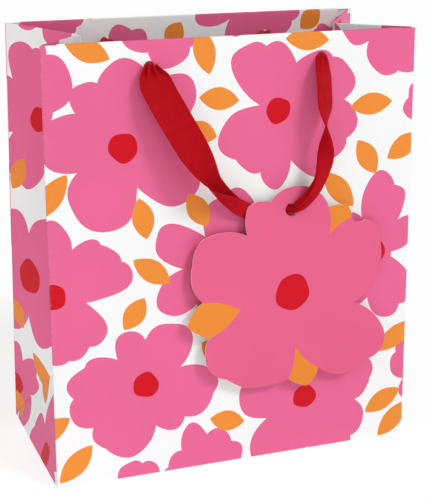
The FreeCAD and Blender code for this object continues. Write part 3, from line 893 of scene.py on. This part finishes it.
def foot_bend(hand):
    """The foot's triangle is flat, with a flap tucked behind each half of the gusset."""
    sign = -1 if hand == "left" else 1

    def bend(across, up, depth):
        s = np.abs(across) - EDGE
        edge = HALF * np.clip(up, 0, APEX_UP) / APEX_UP
        result = np.stack([sign * (EDGE - APEX_INSET * up / APEX_UP), s - HALF, up * COS_LEAN], -1)
        slope = math.atan2(APEX_INSET, APEX_UP * COS_LEAN)
        result = result - np.stack([sign * math.cos(slope) * depth, 0 * depth, math.sin(slope) * depth], -1)
        for wall, distance in (("front", s), ("back", DEPTH - s)):
            flap = ((distance < edge - 1e-6) | (up > APEX_UP)) & ((s < HALF) == (wall == "front"))
            if flap.any():
                result[flap] = sunk(hand, wall, distance[flap], up[flap], depth[flap] + TUCK)
        return result * MM
    return bend


# %% Cut the gussets
START = FOLD * math.pi / 2 - FOLD + 0.1
FROM_BASE = 1.2
EDGE_START, EDGE_END = 2.2, HALF - 1.5
FOOT_SLANT = 1.44
FOOT_OUTLINE = [(1.0, 0), (DEPTH - 1.0, 0), (DEPTH - 1.6, 3.4), (HALF + 1.2, APEX_UP + 1.4),
                (HALF - 1.2, APEX_UP + 1.4), (1.6, 3.4)]


def from_fold(sign, wall, distances):
    """Distances in from an upright fold of a gusset as places across the blank."""
    return [sign * (EDGE + (s if wall == "front" else DEPTH - s)) for s in distances]


def outline_from_fold(sign, wall, corners):
    """The same for an outline, given as distances in and heights."""
    return list(zip(from_fold(sign, wall, [s for s, _ in corners]), [u for _, u in corners]))


def near_crease(a, u):
    """How far a place is from a gusset's middle crease, upright folds, top and foot creases."""
    s = np.abs(a) - EDGE
    middle_crease = np.abs(s - HALF) + np.clip(APEX_UP - u, 0, None)
    foot_crease = np.abs(HALF - np.abs(s - HALF) - HALF * u / APEX_UP) / FOOT_SLANT
    return np.minimum.reduce([middle_crease, np.abs(s), np.abs(LENGTH - u), foot_crease])


lip_rows = [GUSSET_TOP + LIP * a for a in np.linspace(0.4, math.pi, 6)]
for hand, sign in (("left", -1), ("right", 1)):
    for wall in ("front", "back"):
        over = FLAP if wall == "front" else 0
        corners = [(START, FROM_BASE), (HALF, APEX_UP)] + ([(HALF + over, APEX_UP + over)] if over else [])
        corners += [(HALF + over, GUSSET_TOP), (START, GUSSET_TOP)]
        lines = grid_lines(START, HALF, 6) + ([HALF] if over else [])
        piece = cut_sheet(
            f"{hand}_gusset_{wall}_half", outline_from_fold(sign, wall, corners), half_bend(hand, wall),
            from_fold(sign, wall, lines), grid_lines(FROM_BASE, GUSSET_TOP, 7), shapes=print_shapes,
            folds=near_crease)
        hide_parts(f"{hand}_gusset_{wall}")
        corners = [(EDGE_START, GUSSET_TOP), (EDGE_END, GUSSET_TOP), (EDGE_END, LENGTH + HEM),
                   (EDGE_START, LENGTH + HEM)]
        edge = cut_sheet(
            f"{hand}_gusset_{wall}_turned_edge", outline_from_fold(sign, wall, corners),
            half_bend(hand, wall), from_fold(sign, wall, grid_lines(EDGE_START, EDGE_END, 8)),
            grid_lines(lip_rows[-1], LENGTH + HEM, 8), shapes=print_shapes,
            folds=lambda a, u: np.abs(u - LENGTH),
            close=(from_fold(sign, wall, np.arange(EDGE_START + 0.4, EDGE_END, 0.9)), lip_rows))
        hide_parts(f"{hand}_gusset_{wall}_hem")
        for part in (piece, edge):
            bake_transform(part)
    foot = cut_sheet(
        hand + "_gusset_foot_sheet", outline_from_fold(sign, "front", FOOT_OUTLINE), foot_bend(hand),
        from_fold(sign, "front", grid_lines(1, DEPTH - 1, 6)), grid_lines(0, APEX_UP, 5),
        shapes=print_shapes, folds=near_crease)
    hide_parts(hand + "_gusset_foot")
    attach(foot, hand + "_gusset_foot")

# %% [markdown]
# ## The base
# Under the bag the bottom flaps of the blank are folded in and glued, so the print runs on under the base.
# The long front flap laps over the back one along the middle. On top of them, inside the bag, lies a
# loose card that keeps the base flat.

# %% Fold the long bottom flaps
FLAT_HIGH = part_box("bottom_flap_front")[1].y / MM
LAP = FLAT_HIGH + HALF
FLAP_GAP = 0.8
STEP_STARTS, STEP_MIDDLE, STEP_DONE = HALF - 14.6, HALF - 13.6, HALF - 12.6


def flap_bend(side, middle):
    """The long flap lies on the ground plane. The front one steps up over the back one's edge."""
    sign = -1 if side == "front" else 1

    def bend(across, up, depth):
        reach = -up
        y = sign * (HALF - FLAP_GAP * np.clip(1 - reach, 0, 1) - reach)
        lift = step_between(reach, STEP_STARTS, STEP_DONE) * (PAPER + 0.02) if side == "front" else 0
        return np.stack([-sign * (across - middle), y, lift + depth], -1) * MM
    return bend


half_width = EDGE - FLAP_GAP
for side, middle in WALL_MIDDLE.items():
    flap = cut_sheet(
        f"bottom_{side}_flap_sheet", rectangle(middle, half_width, -LAP, -FLAP_GAP), flap_bend(side, middle),
        grid_lines(middle - half_width, middle + half_width, 9),
        grid_lines(-LAP, -FLAP_GAP, 8) + [-STEP_STARTS, -STEP_MIDDLE, -STEP_DONE],
        shapes=print_shapes, folds=lambda a, u: np.minimum(np.abs(u), np.abs(u + LAP)))
    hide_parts("bottom_flap_" + side)
    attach(flap, "base")

# %% [markdown]
# ## Grey board
# The base card and the strips in the top edges are recycled board: pale grey, with short darker fibres and
# flecks pressed into it, and a rough matt face. These pieces keep the shape of the frame's nodes, so
# only their finish is made here. The short side flaps and the seam tab get bare paper in the same way.

# %% Board and bare paper on the frame's own nodes


def board(name, tone, fleck):
    """Pressed board: fibres stretched one way, with darker flecks among them."""
    material, tree, shader = new_material(name, roughness=0.85, specular_ior_level=0.2)
    longer = {"Vector": object_place(tree), "Scale": (1.0, 2.6, 1.0)}
    stretched = add(tree, "ShaderNodeMapping", longer).outputs[0]
    fibre = noise(tree, stretched, 520.0, 6.0)
    cells = add(tree, "ShaderNodeTexVoronoi", {"Vector": stretched, "Scale": 260.0}).outputs[0]
    colour = blend_colours(tree, ramp(tree, fibre, 0.4, 0.65), tone, fleck)
    colour = blend_colours(tree, ramp(tree, cells, 0.0, 0.12, 0.55, 0.0), colour, linear("8C8780"))
    dress(tree, shader, colour, fibre, 0.35, 0.0001)
    return material


grey_board = board("recycled_grey_board", linear("D9D6CF"), linear("C6C1B8"))
for finish, names in ((grey_board, ("base_card", "front_card_strip", "back_card_strip")),
                      (inks[BARE], ("bottom_flap_left", "bottom_flap_right", "side_seam_tab"))):
    for name in names:
        frame["nodes"][name].data.materials.clear()
        frame["nodes"][name].data.materials.append(finish)
    print(finish.name, "on", names)

# %% [markdown]
# ## Knots
# Behind each hole the ribbon ends in a tight overhand knot that can't pull through. Its middle line is a
# trefoil, the simplest knot there is, and the ribbon is swept along it. Anything that follows a path suits
# Geometry Nodes: one small tree takes a line, spaces points on it evenly, sweeps an oval ribbon section
# along it and sets the material. The gathered neck that joins a knot to its hole is a bundle of swept
# strands from the same tree.

# %% A node tree that sweeps a section along a line


def sweep_tree():
    """Line in, ribbon out. Ridge makes the section swell and shrink every ridge length, as gathers do."""
    tree = bpy.data.node_groups.new("sweep_section_along_line", "GeometryNodeTree")
    face = tree.interface
    face.new_socket("Line", in_out="INPUT", socket_type="NodeSocketGeometry")
    for title, value in (("Width", 0.003), ("Thickness", 0.001), ("Spacing", 0.001), ("Ridge", 0.1),
                         ("Ridge Length", 0.002)):
        face.new_socket(title, in_out="INPUT", socket_type="NodeSocketFloat").default_value = value
    face.new_socket("Cloth", in_out="INPUT", socket_type="NodeSocketMaterial")
    face.new_socket("Ribbon", in_out="OUTPUT", socket_type="NodeSocketGeometry")
    source = {s.name: s for s in add(tree, "NodeGroupInput").outputs if s.name}

    even = add(tree, "GeometryNodeResampleCurve", {"Curve": source["Line"], "Length": source["Spacing"]},
               mode="LENGTH")
    run = add(tree, "GeometryNodeSplineParameter").outputs["Length"]
    wave = arithmetic(tree, "MULTIPLY", arithmetic(tree, "DIVIDE", run, source["Ridge Length"]), 2 * math.pi)
    swell = arithmetic(tree, "MULTIPLY_ADD", arithmetic(tree, "SINE", wave), source["Ridge"], 1.0)
    section = add(tree, "GeometryNodeCurvePrimitiveCircle", {"Resolution": 10, "Radius": 1.0}, mode="RADIUS")
    size = add(tree, "ShaderNodeCombineXYZ", {0: source["Width"], 1: source["Thickness"], 2: 1.0})
    halved = add(tree, "ShaderNodeVectorMath", {0: size.outputs[0], 1: (0.5, 0.5, 1.0)}, operation="MULTIPLY")
    flat = add(tree, "GeometryNodeTransform",
               {"Geometry": section.outputs["Curve"], "Scale": halved.outputs[0]})
    sweep = add(tree, "GeometryNodeCurveToMesh",
                {"Curve": even.outputs["Curve"], "Profile Curve": flat.outputs["Geometry"], "Scale": swell,
                 "Fill Caps": True})
    whole = add(tree, "GeometryNodeRealizeInstances", {0: sweep.outputs["Mesh"]})
    paint = add(tree, "GeometryNodeSetMaterial", {"Geometry": whole.outputs[0], "Material": source["Cloth"]})
    add(tree, "NodeGroupOutput", {0: paint.outputs[0]})
    return tree


SWEEP = sweep_tree()


def swept(name, lines, cyclic=False, **values):
    """Run the sweep on one or more lines and keep the result as a plain mesh object."""
    source = new_line(name, "POLY", lines, cyclic)
    modifier = source.modifiers.new("sweep", "NODES")
    modifier.node_group = SWEEP
    sockets = {item.name: item.identifier for item in SWEEP.interface.items_tree if item.in_out == "INPUT"}
    for title, value in values.items():
        modifier[sockets[title.replace("_", " ")]] = value
    mesh = to_mesh(source)
    mesh.polygons.foreach_set("use_smooth", np.ones(len(mesh.polygons), bool))
    print(f"{name}: {len(mesh.polygons)} faces")
    return new_object(name, mesh)


# %% [markdown]
# ## Finish of the knots
# On a swept piece there is no ribbon map, so the weave is a fine slanting wave in the object's own
# coordinates, in much the same dye. Shade is painted into the colour: it darkens between the threads and in
# scattered noise patches that stand in for the creases of the cloth pulled tight.

# %% Knotted cloth material


def knotted_cloth(name, dye, shade_dye):
    """The ribbon's cloth pulled tight: slanting threads, with painted shade between them and in noise patches
    that stand in for creases.
    """
    material, tree, shader = new_material(
        name, roughness=0.66, specular_ior_level=0.2, sheen_weight=0.3, sheen_roughness=0.45)
    place = object_place(tree)
    threads = add(tree, "ShaderNodeTexWave", {"Vector": place, "Scale": 520.0, "Distortion": 3.0,
                                              "Detail": 2.0}, bands_direction="DIAGONAL").outputs[1]
    crease_shade_noise = noise(tree, place, 240.0, 3.0)
    # Painted shade: the dye is darkened between the threads and in noise patches that stand in for creases.
    colour = blend_colours(tree, ramp(tree, threads, 0.0, 0.6, 0.4, 0.0), dye, shade_dye)
    colour = blend_colours(tree, ramp(tree, crease_shade_noise, 0.4, 0.7, 0.0, 0.5), colour, shade_dye)
    dress(tree, shader, colour, threads, 0.5, 0.0002)
    return material


knot_cloth = knotted_cloth("red_knotted_ribbon", linear("BE0C20"), linear("86051A"))
print("knot material:", knot_cloth.name)

# %% Tie the knots
KNOT_BACK = 2 * PAPER + STRIP
KNOT_SCALE, KNOT_DEPTH, KNOT_SWAY = 1.02, 3.5, 1.75
NECK_RADIUS, NECK_TWIST = 1.85, 0.12
for side in ("front", "back"):
    for hand, sign in (("left", -1), ("right", 1)):
        hole = sign * HOLE_ACROSS
        t = np.linspace(0, 2 * math.pi, 90, endpoint=False) + 0.5 * sign
        loop_x = KNOT_SCALE * (np.sin(t) + 2 * np.sin(2 * t))
        loop_u = KNOT_SCALE * (np.cos(t) - 2 * np.cos(2 * t))
        depth = KNOT_BACK + KNOT_DEPTH + KNOT_SWAY * np.sin(3 * t)
        trefoil = wall_to_frame(side, hole + loop_x, HOLE_UP + loop_u, -depth)
        knot = swept(f"{side}_tied_knot_{hand}", [trefoil], cyclic=True, Width=3.5 * MM, Thickness=2.1 * MM,
                     Spacing=0.45 * MM, Ridge=0.06, Ridge_Length=1.6 * MM, Cloth=knot_cloth)
        reach = np.linspace(-0.9, KNOT_BACK + 4.0, 7)
        turns = [k * math.pi / 3 + 0.4 + NECK_TWIST * reach for k in range(6)]
        places = [(hole + NECK_RADIUS * np.cos(a), HOLE_UP + NECK_RADIUS * np.sin(a)) for a in turns]
        strands = [wall_to_frame(side, x, u, -reach) for x, u in places + [(hole, HOLE_UP)]]
        neck = swept(f"{side}_gathered_neck_{hand}", strands, Width=2.0 * MM, Thickness=2.0 * MM,
                     Spacing=0.6 * MM, Ridge=0.05, Ridge_Length=1.4 * MM, Cloth=knot_cloth)
        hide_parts(f"{side}_knot_{hand}")
        for part in (knot, neck):
            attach(part, side + "_panel")

# %% [markdown]
# ## The tag
# The tag is a die-cut card in the shape of a big flower with three leaves between its petals, printed on
# its front and plain white behind. The cutter's outline is a chain of arcs through chosen points. The card
# hangs clear of the wall and has the faint curl that a card gets from its printed side.

# %% Cut the tag
TAG_ARCS = [
    ((-28.5, 36.0), (-29.5, 44.0)), ((-28.0, 52.0), (-22.5, 54.5)), ((-15.0, 53.5), (-8.0, 59.5)),
    ((2.0, 61.5), (14.0, 57.5)), ((21.0, 48.0), (26.5, 48.6)), ((32.5, 48.0), (34.5, 45.0)),
    ((35.5, 40.5), (39.0, 37.5)), ((44.0, 38.5), (51.5, 34.0)), ((54.0, 24.0), (51.5, 3.5)),
    ((38.0, -10.5), (50.5, -18.5)), ((57.5, -30.0), (56.0, -40.0)), ((46.5, -46.0), (33.5, -53.0)),
    ((16.0, -47.5), (13.5, -53.0)), ((8.5, -57.5), (2.5, -55.5)), ((-3.0, -52.0), (-14.5, -54.0)),
    ((-31.0, -53.0), (-36.5, -50.0)), ((-41.5, -46.5), (-52.0, -39.5)), ((-54.0, -28.5), (-53.5, -24.0)),
    ((-51.0, -21.0), (-58.5, -17.5)), ((-65.0, -12.0), (-61.5, -5.0)), ((-55.5, 0.5), (-61.5, 10.5)),
    ((-61.0, 22.5), (-59.5, 30.0)), ((-55.5, 36.0), (-43.5, 39.0)),
]
TAG_THICKNESS = 0.5
TAG_OUT = 5.1
TAG_CURL = 0.0009
TAG_CENTRE = (32.2, 99.5)
TAG_HOLE_AT, TAG_HOLE_RADIUS = (-1.8, 48.5), 3.8


def arc_points(start, middle, end, pieces=9):
    """Points on the arc through three points, without its last one."""
    (ax, ay), (bx, by), (cx, cy) = start, middle, end
    k = 2 * (ax * (by - cy) + bx * (cy - ay) + cx * (ay - by))
    ux = ((ax**2 + ay**2) * (by - cy) + (bx**2 + by**2) * (cy - ay) + (cx**2 + cy**2) * (ay - by)) / k
    uy = ((ax**2 + ay**2) * (cx - bx) + (bx**2 + by**2) * (ax - cx) + (cx**2 + cy**2) * (bx - ax)) / k
    first, mid, last = (math.atan2(y - uy, x - ux) for x, y in (start, middle, end))
    turn = (last - first) % (2 * math.pi)
    if (mid - first) % (2 * math.pi) > turn:
        turn -= 2 * math.pi
    radius = math.hypot(ax - ux, ay - uy)
    angles = [first + turn * i / pieces for i in range(pieces)]
    return [(ux + radius * math.cos(a), uy + radius * math.sin(a)) for a in angles]


tag_outline = []
for (start, middle), (end, _) in zip(TAG_ARCS, TAG_ARCS[1:] + TAG_ARCS[:1]):
    tag_outline += arc_points(start, middle, end)


def bowed(a, b, bulge):
    """A gently bowed line between two points."""
    t = np.linspace(0, 1, 7)[:, None]
    normal = np.array((-(b - a)[1], (b - a)[0])) * 0.07 * bulge
    return a + (b - a) * t + normal * np.sin(math.pi * t)


def tag_leaf(first, last, tip, bulge=1.0):
    """The orange between two petals: everything outside the line first - tip - last."""
    first, last, tip = (np.array(p, float) for p in (first, last, tip))
    outward = (first + last) / 2 - tip
    return ORANGE, np.concatenate([bowed(first, tip, bulge), bowed(tip, last, bulge)[1:],
                                   [last + outward, first + outward]])


tag_print = [
    (PINK, ring(0, 0, 90)),
    tag_leaf((21, 48), (35.5, 40.5), (21.5, 31.5)),
    tag_leaf((16, -47.5), (-3, -52), (1, -32.5)),
    tag_leaf((-51, -21), (-55.5, 0.5), (-32.5, -6.5), bulge=-1.0),
    (RED, egg((-0.8, -0.2), 21.5, 20.5, 1.1, 0.8, taper=0.06)),
]


def tag_bend(across, up, depth):
    """The tag's place in front of the wall, with its corners curling away from it."""
    curl = TAG_CURL * (across ** 2 + 0.6 * up ** 2) * np.clip(1 - up / 60, 0, 1)
    return wall_to_frame("front", across + TAG_CENTRE[0], up + TAG_CENTRE[1], TAG_OUT + curl * 0.5 - depth)


tag_inks = [printed_paper("tag_white_back", linear("F6F5F2"), mottle=0.012, roughness=0.55),
            printed_paper("tag_pink_ink", linear("E5618B"), wear_share=0.0),
            printed_paper("tag_red_ink", linear("D00219")),
            printed_paper("tag_orange_ink", linear("E98A32")),
            printed_paper("tag_card_core", linear("F1F0EC"), roughness=0.6)]
tag_grid = [np.arange(low, high, 5.3) for low, high in ((-62, 58), (-55, 61))]
tag = cut_sheet("flower_tag", tag_outline, tag_bend, *tag_grid, holes=[ring(*TAG_HOLE_AT, TAG_HOLE_RADIUS)],
                shapes=tag_print, thickness=TAG_THICKNESS, materials=tag_inks)
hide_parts("gift_tag")
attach(tag, "gift_tag")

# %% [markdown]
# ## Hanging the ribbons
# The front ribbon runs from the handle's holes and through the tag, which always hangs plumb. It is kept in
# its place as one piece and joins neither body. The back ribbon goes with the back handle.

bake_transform(front_ribbon)
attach(back_ribbon, "back_handle")

# %% [markdown]
# ## Floor and light
# The bag stands on a plain white floor inside a wide, low backdrop ring. Both glow a little, as a lit
# studio does, so every side of the bag looks onto something bright. One soft lamp high on the front right
# throws the ribbons' shadows down to the left. A small panel near the front left brightens the top of the
# front wall, and a weak fill from the left keeps the gusset on that side a cool grey.

# %% Floor, backdrop and surroundings
FLOOR_HALF, FLOOR_DROP, FLOOR_GLOW = 8.0, 0.0002, 0.75
BACKDROP_RADIUS, BACKDROP_LOW, BACKDROP_HIGH, BACKDROP_SIDES, BACKDROP_GLOW = 7.8, -0.01, 1.7, 64, 0.9
WORLD_GLOW = 0.15


def studio_piece(name, corners, faces, glow, **shader):
    """A matt, pale piece of the studio that gives off a little light."""
    piece = new_piece(name, corners, faces, [])
    paint, tree, surface = new_material("pale_" + name, roughness=0.9, emission_color=(1, 1, 1, 1),
                                        emission_strength=glow, **shader)
    piece.data.materials.append(paint)
    return piece, tree, surface


square = [(x * FLOOR_HALF, y * FLOOR_HALF, -FLOOR_DROP) for x, y in ((-1, -1), (1, -1), (1, 1), (-1, 1))]
floor, tree, surface = studio_piece("floor", square, [(0, 1, 2, 3)], FLOOR_GLOW, specular_ior_level=0.1)
grain = noise(tree, object_place(tree), 60.0, 3.0)
tree.links.new(blend_colours(tree, grain, (0.43, 0.43, 0.43, 1), (0.4, 0.4, 0.4, 1)),
               surface.inputs["Base Color"])

n = BACKDROP_SIDES
around = np.linspace(0, 2 * math.pi, n, endpoint=False)
corners = [(BACKDROP_RADIUS * math.cos(a), BACKDROP_RADIUS * math.sin(a), z)
           for z in (BACKDROP_LOW, BACKDROP_HIGH) for a in around]
sides = [(i, i + n, (i + 1) % n + n, (i + 1) % n) for i in range(n)]
backdrop, *_ = studio_piece("backdrop", corners, sides, BACKDROP_GLOW, base_color=(0.3, 0.3, 0.3, 1))

world = bpy.data.worlds.new("pale_surroundings")
bpy.context.scene.world = world
world.use_nodes = True
world.node_tree.nodes["Background"].inputs[0].default_value = (1, 1, 1, 1)
world.node_tree.nodes["Background"].inputs[1].default_value = WORLD_GLOW
print("studio:", floor.name, "and", backdrop.name)

# %% Lamps
PANEL_AT, PANEL_AIM = Vector((-0.2, -0.47, 0.72)), Vector((0, -0.02, 0.2))


def lamp(name, kind, energy, direction, place=(0, 0, 0), **softness):
    """A lamp that shines from a direction. A sun's softness is an angle, and a panel's is its size."""
    light = bpy.data.lights.new(name, kind)
    light.energy = energy
    for key, value in softness.items():
        setattr(light, key, value)
    holder = new_object(name, light)
    holder.location = place
    holder.rotation_euler = Vector(direction).to_track_quat("Z", "Y").to_euler()


lamp("soft_key", "SUN", 1.34, (0.45, -0.6, 0.66), angle=0.32)
lamp("side_fill", "SUN", 0.66, (-0.95, 0.1, 0.3), angle=0.9)
lamp("near_panel", "AREA", 0.95, PANEL_AT - PANEL_AIM, PANEL_AT, size=0.4)
bpy.context.scene.view_settings.view_transform = "Standard"
